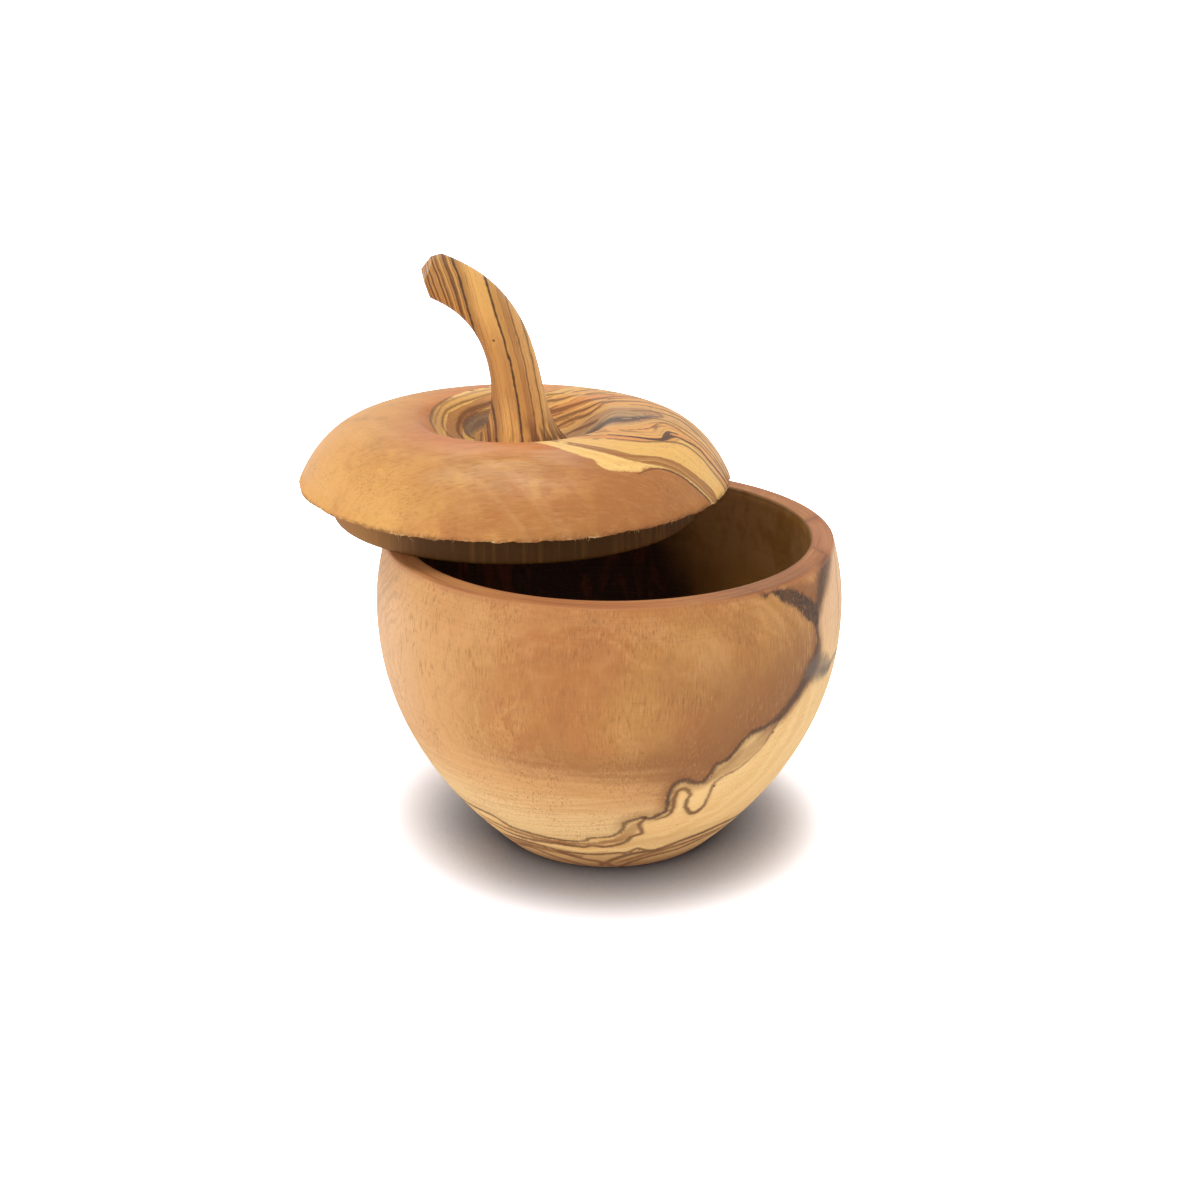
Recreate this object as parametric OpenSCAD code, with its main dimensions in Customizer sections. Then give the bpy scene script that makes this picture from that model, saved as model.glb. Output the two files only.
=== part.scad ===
// Apple-shaped turned wooden pot for kitchen salt: a bowl, a loose lid with a lip that drops
// into the mouth, and a curved carved stem glued into the lid as its handle.
// Millimetres, +Z up. The origin is the middle of the bowl's flat base.

/* [Bowl] */
// Greatest width of the bowl, at its belly
bowl_w = 100; // [80:1:140]
// Height of the bowl, from its base to its rim
bowl_h = 67.5; // [60:0.5:110]
// Height of the belly above the base
belly_h = 52; // [40:0.5:60]
// Width of the flat base
base_w = 50; // [30:0.5:60]
// How far the rim's outer edge lies inside the belly
rim_inset = 2.3; // [0.5:0.1:8]
// Width of the rim's ring of wood round the mouth
rim_wall = 5; // [3:0.1:8]
// Thickness of the wall at the belly
belly_wall = 5.5; // [4:0.1:10]
// Thickness of the floor at its middle
floor_t = 9; // [5:0.5:16]
// Easing of the rim's two edges
rim_ease = 0.6; // [0.2:0.1:1.4]
// Fullness of the outside below the belly, where more is rounder
bowl_swell = 2.15; // [1.8:0.05:3]

/* [Lid] */
// How far the lid's edge lies inside the rim's outer edge
lid_inset = 0.2; // [0:0.1:3]
// Height of the lid's crown above its lower edge
crown_h = 13.4; // [10:0.1:22]
// Distance across the crown, which is a ring round the dimple
crown_w = 45.6; // [34:0.2:60]
// Height of the dimple's flat seat above the lid's lower edge
seat_h = 7; // [6:0.1:9]
// Bare width of the seat all round the stem's foot
seat_margin = 0.3; // [0.2:0.1:2]
// Height of the lip below the lid's lower edge
lip_h = 7.2; // [4:0.1:12]
// Gap all round between the lip and the mouth
lip_gap = 2.3; // [0.3:0.1:4]
// Width of the lip's ring of wood
lip_wall = 5.5; // [3:0.1:12]
// Depth of the hollow inside the lip's ring
hollow_d = 3; // [1:0.5:4]
// Easing of the lip's lower edges
lip_ease = 0.8; // [0.3:0.1:1.4]

/* [Stem] */
// Width of the stem, seen from the front
stem_w = 10.4; // [8:0.1:14]
// Thickness of the stem from front to back
stem_t = 10; // [7:0.1:14]
// Width of the stem's cut end
tip_w = 9.6; // [6:0.1:13]
// Width of the stem's flared foot
foot_w = 22.4; // [17:0.2:26]
// Height in which the flare of the foot fades
flare_h = 5; // [2:0.1:8]
// Distance of the foot's middle from the lid's middle, to the right
foot_shift = 1.2; // [0:0.1:2]
// Rise of the middle of the cut end above the seat
stem_rise = 37; // [26:0.5:60]
// Reach of the middle of the cut end to the left of the foot's middle
stem_reach = 17.8; // [6:0.2:30]
// How far the cut end bulges
tip_bulge = 1.8; // [0.5:0.1:4]
// Diameter of the tenon under the foot
tenon_w = 8; // [5:0.5:10]
// Length of the tenon
tenon_h = 6.5; // [4:0.5:8]
// Glue gap round the tenon
glue_gap = 0.1; // [0.05:0.05:0.2]
// Spare depth of the bore below the tenon, for glue
bore_spare = 0.5; // [0.2:0.1:1]

/* [Place of the lid] */
// Where the lid lies: askew on the rim as left after use, or seated in the mouth
lid_place = "askew"; // [askew, seated]
// How far the askew lid lies to the left of the bowl's middle
lid_left = 20.8; // [14:0.1:30]
// How far the askew lid lies behind the bowl's middle
lid_back = 17.2; // [14:0.1:30]

/* [Hidden] */

belly_r = bowl_w / 2;
base_r = base_w / 2;
rim_r = belly_r - rim_inset;
mouth_r = rim_r - rim_wall;
cavity_r = belly_r - belly_wall;

lid_r = rim_r - lid_inset;
lip_r = mouth_r - lip_gap;
hollow_r = lip_r - lip_wall;
crown_r = crown_w / 2;
seat_r = foot_w / 2 + foot_shift + seat_margin;

askew = lid_place == "askew";
lid_pos = [askew ? -lid_left : 0, askew ? lid_back : 0, askew ? bowl_h + lip_h : bowl_h];

// Shape numbers of the curves, which carry no size
cavity_round = 0.91;
dome_side = 0.567;
dome_top = 1.85;
hollow_flat = 4;
stem_square = 2.2;

// The stem's line bends like a bow: its two inner handles as shares of its rise and reach
low_handle_rise = 0.51;
high_handle_rise = 0.85;
high_handle_reach = 0.15;

// Steps along the curves
side_steps = 18;
neck_steps = 5;
ease_steps = 4;
dome_steps = 20;
hollow_steps = 10;
stem_rings = 24;
stem_sides = 24;
tip_angles = [30, 55, 75];
round_faces = 96;

// Rings crowd towards the stem's foot by this power, because its flare bends most
ring_crowding = 1.5;

// How far a cutter or a joined solid runs into the next, so that no thin skin is left
overlap = 1;

function mix(a, b, t) = a + (b - a) * t;

// A quarter arc of radius r round (x, z), from one angle to another
function arc(x, z, r, from, to) = [
    for (i = [0:ease_steps])
        let (a = mix(from, to, i / ease_steps))
        [x + r * cos(a), z + r * sin(a)]
];

// Outside of the bowl, from the base up to the belly and on to the rim
function bowl_side() = [
    for (i = [0:side_steps])
        let (s = i / side_steps)
        [mix(base_r, belly_r, 1 - pow(1 - s, bowl_swell)), belly_h * s]
];

// Between the belly and the rim, for a wall that starts at radius r and is drawn in by inset
function neck(r, inset) = [
    for (i = [1:neck_steps])
        let (s = i / (neck_steps + 1))
        [r - inset * s * s, mix(belly_h, bowl_h - rim_ease, s)]
];

// Inside of the bowl, from the middle of its floor out and up to the belly
function cavity_side() = [
    for (i = [0:side_steps])
        let (a = 90 * i / side_steps)
        [cavity_r * sin(a), mix(floor_t, belly_h, 1 - pow(cos(a), cavity_round))]
];

function reversed(points) = [for (i = [len(points) - 1:-1:0]) points[i]];

function bowl_outline() = concat(
    [[0, 0]],
    bowl_side(),
    neck(belly_r, rim_inset),
    arc(rim_r - rim_ease, bowl_h - rim_ease, rim_ease, 0, 90),
    arc(mouth_r + rim_ease, bowl_h - rim_ease, rim_ease, 90, 180),
    reversed(neck(cavity_r, cavity_r - mouth_r)),
    reversed(cavity_side())
);

// Top of the lid from its edge over the crown, round the dimple and down to the seat
function dome() = [
    for (i = [0:dome_steps])
        let (a = 90 * i / dome_steps)
        [mix(crown_r, lid_r, pow(cos(a), dome_side)), crown_h * pow(sin(a), dome_top)]
];

function dimple() = [
    for (i = [1:dome_steps])
        let (s = i / dome_steps)
        [mix(crown_r, seat_r, s), mix(seat_h, crown_h, (1 + cos(180 * s)) / 2)]
];

// Underside of the lid inside the lip, from its middle out to the ring
function hollow() = [
    for (i = [0:hollow_steps])
        let (s = i / hollow_steps)
        [hollow_r * s, hollow_d * (1 - pow(s, hollow_flat)) - lip_h]
];

function lid_outline() = concat(
    hollow(),
    arc(lip_r - lip_ease, lip_ease - lip_h, lip_ease, -90, 0),
    [[lip_r, 0]],
    dome(),
    dimple(),
    [[0, seat_h]]
);

// The stem's middle line and its direction at t, from the foot at 0 to the cut end at 1,
// as [across, up] from the middle of the foot on the seat
stem_handles = [
    [0, 0],
    [0, stem_rise * low_handle_rise],
    [-stem_reach * high_handle_reach, stem_rise * high_handle_rise],
    [-stem_reach, stem_rise]
];

function stem_line(t) =
    pow(1 - t, 3) * stem_handles[0] + 3 * t * pow(1 - t, 2) * stem_handles[1]
    + 3 * t * t * (1 - t) * stem_handles[2] + pow(t, 3) * stem_handles[3];

function stem_heading(t) =
    let (d = pow(1 - t, 2) * (stem_handles[1] - stem_handles[0])
        + 2 * t * (1 - t) * (stem_handles[2] - stem_handles[1])
        + t * t * (stem_handles[3] - stem_handles[2]))
    d / norm(d);

// Half the stem's size at t, for a plain size and for the foot's flare
function stem_half(plain, t) =
    let (flare = exp(-stem_line(t)[1] / flare_h))
    mix(mix(plain, plain * tip_w / stem_w, t * t), foot_w, flare) / 2;

function rounded_square(c) = sign(c) * pow(abs(c), 2 / stem_square);

// One ring of points round the middle line, shrunk by scale and pushed along the line
function stem_ring(t, scale, push) =
    let (d = stem_heading(t), m = stem_line(t) + d * push)
    let (w = stem_half(stem_w, t) * scale, b = stem_half(stem_t, t) * scale)
    [
        for (k = [0:stem_sides - 1])
            let (a = 360 * k / stem_sides)
            let (u = w * rounded_square(cos(a)), v = b * rounded_square(sin(a)))
            [m[0] + d[1] * u, v, m[1] - d[0] * u]
    ];

module ring_skin(rings) {
    n = len(rings[0]);
    last = len(rings) - 1;
    low_end = [[for (k = [0:n - 1]) k]];
    high_end = [[for (k = [n - 1:-1:0]) last * n + k]];
    sides = [
        for (j = [0:last - 1], k = [0:n - 1])
            let (a = j * n + k, b = j * n + (k + 1) % n)
            each [[a, a + n, b], [b, a + n, b + n]]
    ];
    polyhedron(points = [for (ring = rings) each ring], faces = concat(low_end, high_end, sides));
}

module turned(outline) {
    rotate_extrude($fn = round_faces) polygon(outline);
}

module bowl() {
    color("peru") turned(bowl_outline());
}

module lid() {
    bore_r = tenon_w / 2 + glue_gap;
    bore_h = tenon_h + bore_spare;
    color("burlywood")
        translate(lid_pos)
            difference() {
                turned(lid_outline());
                translate([0, 0, seat_h - bore_h])
                    cylinder(r = bore_r, h = bore_h + overlap, $fn = round_faces);
            }
}

module stem() {
    rings = concat(
        [for (i = [0:stem_rings]) stem_ring(pow(i / stem_rings, ring_crowding), 1, 0)],
        [for (a = tip_angles) stem_ring(1, cos(a), tip_bulge * sin(a))]
    );
    color("goldenrod")
        translate(lid_pos + [0, 0, seat_h]) {
            translate([foot_shift, 0, 0]) ring_skin(rings);
            translate([0, 0, -tenon_h])
                cylinder(r = tenon_w / 2, h = tenon_h + overlap, $fn = round_faces);
        }
}

bowl();
lid();
stem();
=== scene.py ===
import math

import bpy
import bmesh
import numpy as np
from mathutils import Matrix, Vector
from mathutils.kdtree import KDTree


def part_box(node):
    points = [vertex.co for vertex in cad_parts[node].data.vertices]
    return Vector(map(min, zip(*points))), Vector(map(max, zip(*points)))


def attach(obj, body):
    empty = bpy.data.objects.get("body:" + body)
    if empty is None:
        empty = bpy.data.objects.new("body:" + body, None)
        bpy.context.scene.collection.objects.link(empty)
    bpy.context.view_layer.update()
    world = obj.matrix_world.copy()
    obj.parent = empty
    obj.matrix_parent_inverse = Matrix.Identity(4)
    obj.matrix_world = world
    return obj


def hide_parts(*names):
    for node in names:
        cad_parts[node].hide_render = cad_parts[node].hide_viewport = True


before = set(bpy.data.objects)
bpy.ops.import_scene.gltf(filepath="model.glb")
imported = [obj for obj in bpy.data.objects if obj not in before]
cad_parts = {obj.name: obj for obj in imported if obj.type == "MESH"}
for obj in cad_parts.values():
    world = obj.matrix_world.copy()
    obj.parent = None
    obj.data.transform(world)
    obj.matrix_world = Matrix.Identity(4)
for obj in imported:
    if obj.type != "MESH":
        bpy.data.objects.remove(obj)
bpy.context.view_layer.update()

MM = 0.001

# Camera, from the outlines of the photograph
CAMERA_PLACE = (0.0, -346.2, 180.6)
CAMERA_PITCH = 20.44
CAMERA_YAW = 0.324
CAMERA_ROLL = 0.166
CAMERA_LENS = 51.11
CAMERA_SENSOR = 36.0

# Light: a white room that is brightest at eye level, a soft key from above, and a soft one from
# the left
ROOM_TOP_LEVEL = 0.40
ROOM_SIDE_LEVEL = 1.12
KEY_LEVEL = 1.4
KEY_FROM = (-0.05, 0.02, 1.0)
KEY_SPREAD = 40
SIDE_LEVEL = 0.9
SIDE_FROM = (-1.0, -0.45, 0.14)
SIDE_SPREAD = 60
FLOOR_WIDTH = 40000.0
FLOOR_WHITE = 0.93
FLOOR_SEEN_WHITE = 2.55
FLOOR_SEEN_TINT = (0.96, 1.0, 1.10)
# Painted shade on the table near the pot, by ambient occlusion: its reach in mm, and the power that deepens
# it
FLOOR_SHADE_REACH = 25.0
FLOOR_SHADE_DEPTH = 1.7

# Bowl
bowl_low, bowl_high = (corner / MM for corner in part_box("bowl"))
BELLY_R = (bowl_high.x - bowl_low.x) / 2
BOWL_H = bowl_high.z
BELLY_H = 52.0
BASE_R = 25.0
RIM_INSET = 2.3
RIM_WALL = 5.0
BELLY_WALL = 5.5
FLOOR_T = 9.0
RIM_EASE = 0.6
BOWL_SWELL = 2.15
CAVITY_ROUND = 0.91
RIM_R = BELLY_R - RIM_INSET
MOUTH_R = RIM_R - RIM_WALL
CAVITY_R = BELLY_R - BELLY_WALL
BOWL_SIDES = 600
# Where the hollow and the rim's land begin and are full, as mm short of the mouth and below the rim
INSIDE_FADE = (0.57, 0.35)
LAND_FADE = (0.35, 0.05)

# Lid
lid_low, lid_high = (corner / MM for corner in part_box("lid"))
LID_R = (lid_high.x - lid_low.x) / 2
LIP_H = 7.2
LID_PLACE = Vector(((lid_low.x + lid_high.x) / 2, (lid_low.y + lid_high.y) / 2, lid_low.z + LIP_H))
CROWN_H = lid_high.z - LID_PLACE.z
CROWN_R = 22.8
SEAT_R = 12.7
SEAT_H = 7.0
LIP_R = 40.4
LIP_WALL = 5.5
LIP_EASE = 0.8
HOLLOW_D = 3.0
HOLLOW_FLAT = 4
DOME_SIDE = 0.567
DOME_TOP = 1.85
LID_SIDES = 600
# Its ragged lower edge: steps in mm inwards and up or down, each with the sides that it spreads
# over, the most that it moves up or down, and the square mm in which it fades
TORN_DEPTH = [(0.05, 2), (0.10, 9)]
TORN_DROP = [(0.07, 1), (0.08, 4), (0.04, 24)]
TORN_LIMIT = 0.35
TORN_REACH = 0.4
# Torn slivers along it: how many, shortest and longest, and width in mm
SLIVERS = [(480, (0.2, 0.9), 0.055), (30, (0.9, 2.2), 0.07)]
SLIVER_CLUMPS = 60
SLIVER_RINGS = 4

# Stem
STEM_W = 10.4
STEM_T = 10.0
TIP_W = 9.6
FOOT_W = 22.4
FLARE_H = 5.0
FOOT_SHIFT = 1.2
STEM_RISE = 37.0
STEM_REACH = 17.8
STEM_SQUARE = 2.2
LOW_HANDLE_RISE = 0.51
HIGH_HANDLE_RISE = 0.85
HIGH_HANDLE_REACH = 0.15
STEM_RINGS = 180
# The rings crowd towards the foot by a power, and run on past the end for the knife to cut
STEM_CROWDING = 1.25
STEM_OVERRUN = 1.12
STEM_SIDES = 112
SHARP_ANGLE = 24

# Steps along the outlines, and between two points of a guide
BASE_STEPS = 4
SIDE_STEPS = 84
NECK_STEPS = 18
INNER_NECK_STEPS = 8
EASE_STEPS = 5
LAND_STEPS = 6
CAVITY_STEPS = 30
HOLLOW_STEPS = 20
LIP_STEPS = 9
DOME_STEPS = 60
DOME_CROWDING = 1.15
DIMPLE_STEPS = 24
SEAT_STEPS = 12
SPAN_STEPS = 14

# Wood colours, as sRGB
HEART = (198, 138, 74)
HEART_LIGHT = (228, 172, 112)
HEART_DEEP = (152, 98, 52)
HEART_RED = (190, 122, 64)
GOLD = (240, 180, 98)
ORANGE = (236, 156, 82)
SAP = (255, 212, 144)
SAP_DEEP = (240, 186, 112)
SAP_ROSE = (240, 194, 150)
SAP_GREEN = (246, 208, 146)
CREAM = (255, 208, 126)
HONEY = (246, 194, 108)
TAN = (206, 148, 88)
ROSE = (216, 124, 66)
RUSSET = (172, 100, 50)
BROWN = (172, 112, 54)
OLIVE_TAN = (186, 136, 78)
GREY_TAN = (146, 114, 92)
SLATE = (112, 96, 84)
VEIN = (146, 90, 44)
UMBER = (94, 54, 24)
INK = (62, 38, 24)
OLIVE = (196, 138, 66)
# The lip's olive-brown hue is the wood's; its darkness is painted shade under the lid's overhang
LIP_SHADED_OLIVE = (90, 54, 4)
# Painted shade of the bowl's hollow: dark red-brown that stands in for the shade deep in it
HOLLOW_SHADE_DARK = (58, 30, 14)
HOLLOW_SHADE_RED = (110, 48, 22)
RIM_RED = (176, 108, 64)
RIM_DEEP = (124, 78, 50)
FIBRE = (230, 196, 146)

# Gloss of all the wood
SPECULAR = 0.35


def mix(a, b, t):
    return a + (b - a) * t


def steps(count):
    """Numbers from 0 to 1 in count equal steps."""
    return np.linspace(0.0, 1.0, count + 1)


def linear(colour):
    """An sRGB colour of 0 to 255 as the linear RGBA that a shader takes."""
    part = np.array(colour) / 255
    low = part / 12.92
    high = ((part + 0.055) / 1.055) ** 2.4
    return (*np.where(part <= 0.04045, low, high), 1.0)


def arc(x, z, r, start, stop, count):
    """Points on a circle of radius r round (x, z), between two angles in degrees."""
    angles = np.radians(mix(start, stop, steps(count)))
    return np.column_stack([x + r * np.cos(angles), z + r * np.sin(angles)])


def line(start, stop, count):
    return mix(np.array(start, float), np.array(stop, float), steps(count)[:, None])


def joined(*stretches):
    """One outline from stretches whose ends meet, without the doubled points."""
    points = np.concatenate(stretches)
    step = np.linalg.norm(np.diff(points, axis=0), axis=1)
    return points[np.concatenate([[True], step > 1e-4])]


def catmull_rom(guide, width):
    """A smooth curve through rows of numbers; a short row goes on as the row before it."""
    rows = [[0] * width]
    for row in guide:
        rows.append([*row, *rows[-1][len(row):]])
    p = np.array(rows[1:], float)
    p = np.vstack([2 * p[0] - p[1], p, 2 * p[-1] - p[-2]])
    t = np.arange(SPAN_STEPS)[:, None] / SPAN_STEPS
    spans = [
        0.5 * (2 * b + (c - a) * t + (2 * a - 5 * b + 4 * c - d) * t**2 + (3 * b - a - 3 * c + d) * t**3)
        for a, b, c, d in zip(p, p[1:], p[2:], p[3:])
    ]
    return np.vstack([*spans, p[-2:-1]])


def smoothstep(low, high, value):
    t = np.clip((value - low) / (high - low), 0.0, 1.0)
    return t * t * (3 - 2 * t)


# Meshes


def make_piece(name, points, faces, place=(0, 0, 0)):
    """A mesh object from points in mm, with its own frame at place."""
    mesh = bpy.data.meshes.new(name)
    mesh.from_pydata((np.array(points) * MM).tolist(), [], faces)
    mesh.validate()
    mesh.shade_smooth()
    piece = bpy.data.objects.new(name, mesh)
    piece.location = Vector(place) * MM
    bpy.context.scene.collection.objects.link(piece)
    return piece


def turned(outline, sides):
    """Points and faces of a turned solid, from an outline of (r, z) that starts and ends on the axis."""
    angles = np.arange(sides) * 2 * math.pi / sides
    inner = outline[1:-1]
    rings = np.stack(
        [
            inner[:, :1] * np.cos(angles),
            inner[:, :1] * np.sin(angles),
            np.repeat(inner[:, 1:], sides, axis=1),
        ],
        axis=2,
    ).reshape(-1, 3)
    first = (0.0, 0.0, outline[0, 1])
    last = (0.0, 0.0, outline[-1, 1])
    points = np.vstack([rings, first, last])
    k = np.arange(sides)
    after = (k + 1) % sides
    low = np.arange(len(inner) - 1)[:, None] * sides
    quads = np.stack([low + k, low + after, low + after + sides, low + k + sides], axis=2).reshape(-1, 4)
    top = (len(inner) - 1) * sides
    start_fan = np.column_stack([after, k, np.full(sides, len(rings))])
    end_fan = np.column_stack([top + k, top + after, np.full(sides, len(rings) + 1)])
    return points, quads.tolist() + start_fan.tolist() + end_fan.tolist()


def set_number(piece, name, values):
    """Keeps one number for each point of the mesh, for the material to read."""
    made = piece.data.attributes.new(name, "FLOAT", "POINT")
    made.data.foreach_set("value", np.asarray(values, np.float32))


def set_strokes(piece, name, points, strokes):
    """Keeps for each point its distance in mm across the nearest stroke, with the side as its sign,
    the stroke's half width there, and the distance without its sign."""
    distance, half = across_lines(points, strokes)
    made = piece.data.attributes.new(name, "FLOAT_VECTOR", "POINT")
    values = np.column_stack([distance, half, np.abs(distance)])
    made.data.foreach_set("vector", values.astype(np.float32).ravel())


def across_lines(points, strokes):
    """Signed distance of each point from the nearest of several lines, and that line's half width.
    A stroke is (places, half widths, outward facings); the sign is positive on its left."""
    centre = np.vstack([places for places, _, _ in strokes])
    halves = np.concatenate([half for _, half, _ in strokes])
    left = np.vstack([np.cross(facing, np.gradient(places, axis=0)) for places, _, facing in strokes])
    left /= np.linalg.norm(left, axis=1)[:, None]
    tree = KDTree(len(centre))
    for i, place in enumerate(centre):
        tree.insert(place, i)
    tree.balance()
    nearest = np.array([tree.find(place)[1] for place in points])
    gap = points - centre[nearest]
    length = np.linalg.norm(gap, axis=1)
    side = (gap * left[nearest]).sum(axis=1)
    distance = mix(side, np.sign(side) * length, np.clip(length - 0.5, 0.0, 1.0))
    return distance, halves[nearest]


def bowl_outline():
    base = line((0, 0), (BASE_R, 0), BASE_STEPS)
    s = steps(SIDE_STEPS)
    side = np.column_stack([mix(BASE_R, BELLY_R, 1 - (1 - s) ** BOWL_SWELL), BELLY_H * s])
    rim_z = BOWL_H - RIM_EASE
    rim_out = arc(RIM_R - RIM_EASE, rim_z, RIM_EASE, 0, 90, EASE_STEPS)
    land = line((RIM_R - RIM_EASE, BOWL_H), (MOUTH_R + RIM_EASE, BOWL_H), LAND_STEPS)
    rim_in = arc(MOUTH_R + RIM_EASE, rim_z, RIM_EASE, 90, 180, EASE_STEPS)
    a = np.radians(90 * steps(CAVITY_STEPS))
    bottom = BELLY_H - (BELLY_H - FLOOR_T) * (1 - np.cos(a) ** CAVITY_ROUND)
    cavity = np.column_stack([CAVITY_R * np.sin(a), BELLY_H + FLOOR_T - bottom])
    return joined(
        base,
        side,
        neck(BELLY_R, RIM_INSET, NECK_STEPS),
        rim_out,
        land,
        rim_in,
        neck(CAVITY_R, CAVITY_R - MOUTH_R, INNER_NECK_STEPS)[::-1],
        cavity[::-1],
    )


def neck(r, inset, count):
    """The wall between the belly and the rim, which starts at radius r and is drawn in by inset."""
    s = steps(count)
    return np.column_stack([r - inset * s**2, mix(BELLY_H, BOWL_H - RIM_EASE, s)])


def bowl_radius(z):
    """Radius of the bowl's outside at a height."""
    s = np.clip(z / BELLY_H, 0, 1)
    t = np.clip((z - BELLY_H) / (BOWL_H - RIM_EASE - BELLY_H), 0, 1)
    return mix(BASE_R, BELLY_R, 1 - (1 - s) ** BOWL_SWELL) - RIM_INSET * t**2


def lid_outline():
    hollow_r = LIP_R - LIP_WALL
    s = steps(HOLLOW_STEPS)
    hollow = np.column_stack([hollow_r * s, HOLLOW_D * (1 - s**HOLLOW_FLAT) - LIP_H])
    ring = line((hollow_r, -LIP_H), (LIP_R - LIP_EASE, -LIP_H), LAND_STEPS - 1)
    ease = arc(LIP_R - LIP_EASE, LIP_EASE - LIP_H, LIP_EASE, -90, 0, EASE_STEPS)
    wall = line((LIP_R, LIP_EASE - LIP_H), (LIP_R, 0), LIP_STEPS)
    under = line((LIP_R, 0), (LID_R, 0), LAND_STEPS)
    a = np.radians(90 * steps(DOME_STEPS) ** DOME_CROWDING)
    dome = np.column_stack(
        [mix(CROWN_R, LID_R, np.cos(a) ** DOME_SIDE), CROWN_H * np.sin(a) ** DOME_TOP]
    )
    s = steps(DIMPLE_STEPS)
    dimple = np.column_stack(
        [mix(CROWN_R, SEAT_R, s), mix(SEAT_H, CROWN_H, (1 + np.cos(math.pi * s)) / 2)]
    )
    seat = line((SEAT_R, SEAT_H), (0, SEAT_H), SEAT_STEPS)
    return joined(hollow, ring, ease, wall, under, dome, dimple, seat)


# Figure of the bowl: rows of (angle from the front towards the right, height, half width, depth in
# from the outside), in degrees and mm. In all guides a row leaves out what is as in the row before
# it, and a depth that is never given is 0

# Edge of the heartwood, from the mouth on the right over the rim, down the front and along the
# bottom to the left, then on round the back to the rim and the mouth again
HEART_EDGE = [
    (77.5, 67.5, 0.6, 5), (75, 67.5, 0.7, 3), (70.7, 67.3, 1.3, 0.3), (67.5, 66.6, 1.9, 0), (65, 65.6, 2.1),
    (62.2, 63.9, 2), (60, 62, 1.4), (58.3, 60), (57.2, 58.2, 1.1), (57, 56.4, 0.6), (57.4, 54.4),
    (57.7, 52.4, 1), (57.4, 50.4, 1.6), (56.4, 48.6, 2.2), (54.6, 47.2), (52.6, 45.7, 1.6),
    (50.5, 43.9, 1.3), (48.1, 42.3, 1.1), (45.9, 40.7), (43.2, 39.6, 0.8), (39.6, 38.7, 0.6), (36, 38.5),
    (34.2, 37.4, 0.5), (32.5, 35.9), (31.3, 34.2), (29.2, 32.9), (27, 32.3, 0.6), (26, 30.2, 0.5),
    (24.4, 28.6, 0.6), (22.4, 28.7), (19, 29.9, 0.7), (16.9, 29.2, 0.6), (15.9, 27.7, 0.5), (15.7, 24.8),
    (16.1, 21.6), (14.2, 20.5, 0.6), (11.9, 19.6, 0.5), (9.8, 20.2), (7, 19.5), (5.1, 18.6, 0.6),
    (4.1, 16.2, 0.5), (2.3, 14.5, 0.4), (-0.2, 13.7), (-5.7, 13.1), (-7.6, 11.9), (-13, 11.3),
    (-19.9, 11.3, 0.5), (-27.2, 11.6, 0.6), (-34.9, 12), (-41.4, 14.1, 0.5), (-58.3, 13.1), (-80, 12, 0.6),
    (-105, 14, 0.7), (-125, 13, 0.4), (-150, 17, 0.7), (-170, 24, 0.9), (-190, 27, 0.5), (-208, 36, 0.8),
    (-222, 39, 1.1), (-236, 48, 1.4), (-244, 52, 0.8), (-252, 61, 1), (-257, 66.6, 1.4), (-260, 67.5, 1, 3),
    (-262, 67.5, 0.6, 5),
]
# Dark marks: the band along the rim that widens towards the edge, and the blotch where the edge
# turns down
RIM_BAND = [
    (35.5, 67.5, 0.1, 4), (37.2, 67.4, 0.25, 1.5), (38, 67.2, 0.3, 0.1), (39.2, 66.7, 0.7, 0),
    (40.6, 66.8, 0.3), (43.4, 66.3, 0.9), (45.5, 65.3, 1.5), (48.6, 64.1, 1.7), (51, 62.6),
    (53.6, 60.9, 2.1), (55.6, 59.4, 2), (56.7, 57.3, 1),
]
BLOTCH = [
    (54, 47.4, 1.6), (57, 47.2, 2.6), (60.5, 46.2, 2.9), (64, 45.2, 2.3), (67, 44.6, 1.2),
]
# Grey branch that leaves the blotch to the right
BRANCH = [
    (60, 45.8, 0.5), (62, 45.2, 0.8), (66, 44.1), (68.1, 44.7), (71.1, 45.2, 0.7), (76, 45.4, 0.5),
    (81, 46.4, 0.25), (85, 48, 0.05),
]
RIGHT_LINE = [
    (78, 66.6, 0.3), (76.2, 64.2, 0.4), (73.8, 61.1, 0.45), (73.4, 57.3, 0.4), (72.9, 54.1, 0.45),
    (71.5, 51.1, 0.3), (70.5, 48, 0.15),
]
# Brown lines in the pale wood: the loop beside the edge, the tongue below it, and the bold lines
# along the bottom
LOOP = [
    (45.5, 39.6, 0.1), (44, 38.5, 0.15), (42.4, 36.3), (40.5, 33.6, 0.1), (37.6, 31.6), (34.7, 29.9, 0.15),
    (31.4, 29, 0.2), (28.6, 28, 0.25), (27.9, 25.9, 0.3), (27.8, 22.6, 0.35), (27.4, 20.4, 0.45),
    (25.6, 19.2, 0.55), (23.3, 20.1, 0.5), (21.6, 22.2, 0.45), (21.4, 24.1, 0.4), (21.9, 25.3),
    (21, 26.7, 0.45), (19.2, 27.5, 0.5), (17.9, 26.9, 0.45), (17.5, 25), (17.8, 22, 0.4), (17.2, 20.1),
    (14.4, 19.3, 0.2),
]
TONGUE = [
    (10.3, 19.6, 0.39), (9.2, 17.9, 0.45), (10, 16, 0.52), (10.3, 14.5), (7.8, 13.8, 0.45),
    (6.5, 12.3, 0.52), (4.3, 11), (-0.6, 9.9, 0.59), (-5.5, 10.1, 0.52), (-9, 9.4), (-15.9, 9.5, 0.59),
    (-23.3, 9.2, 0.65), (-31.8, 8.6, 0.59), (-40.2, 8.4, 0.52), (-48.7, 8.9), (-60, 8.2, 0.26),
]
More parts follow.
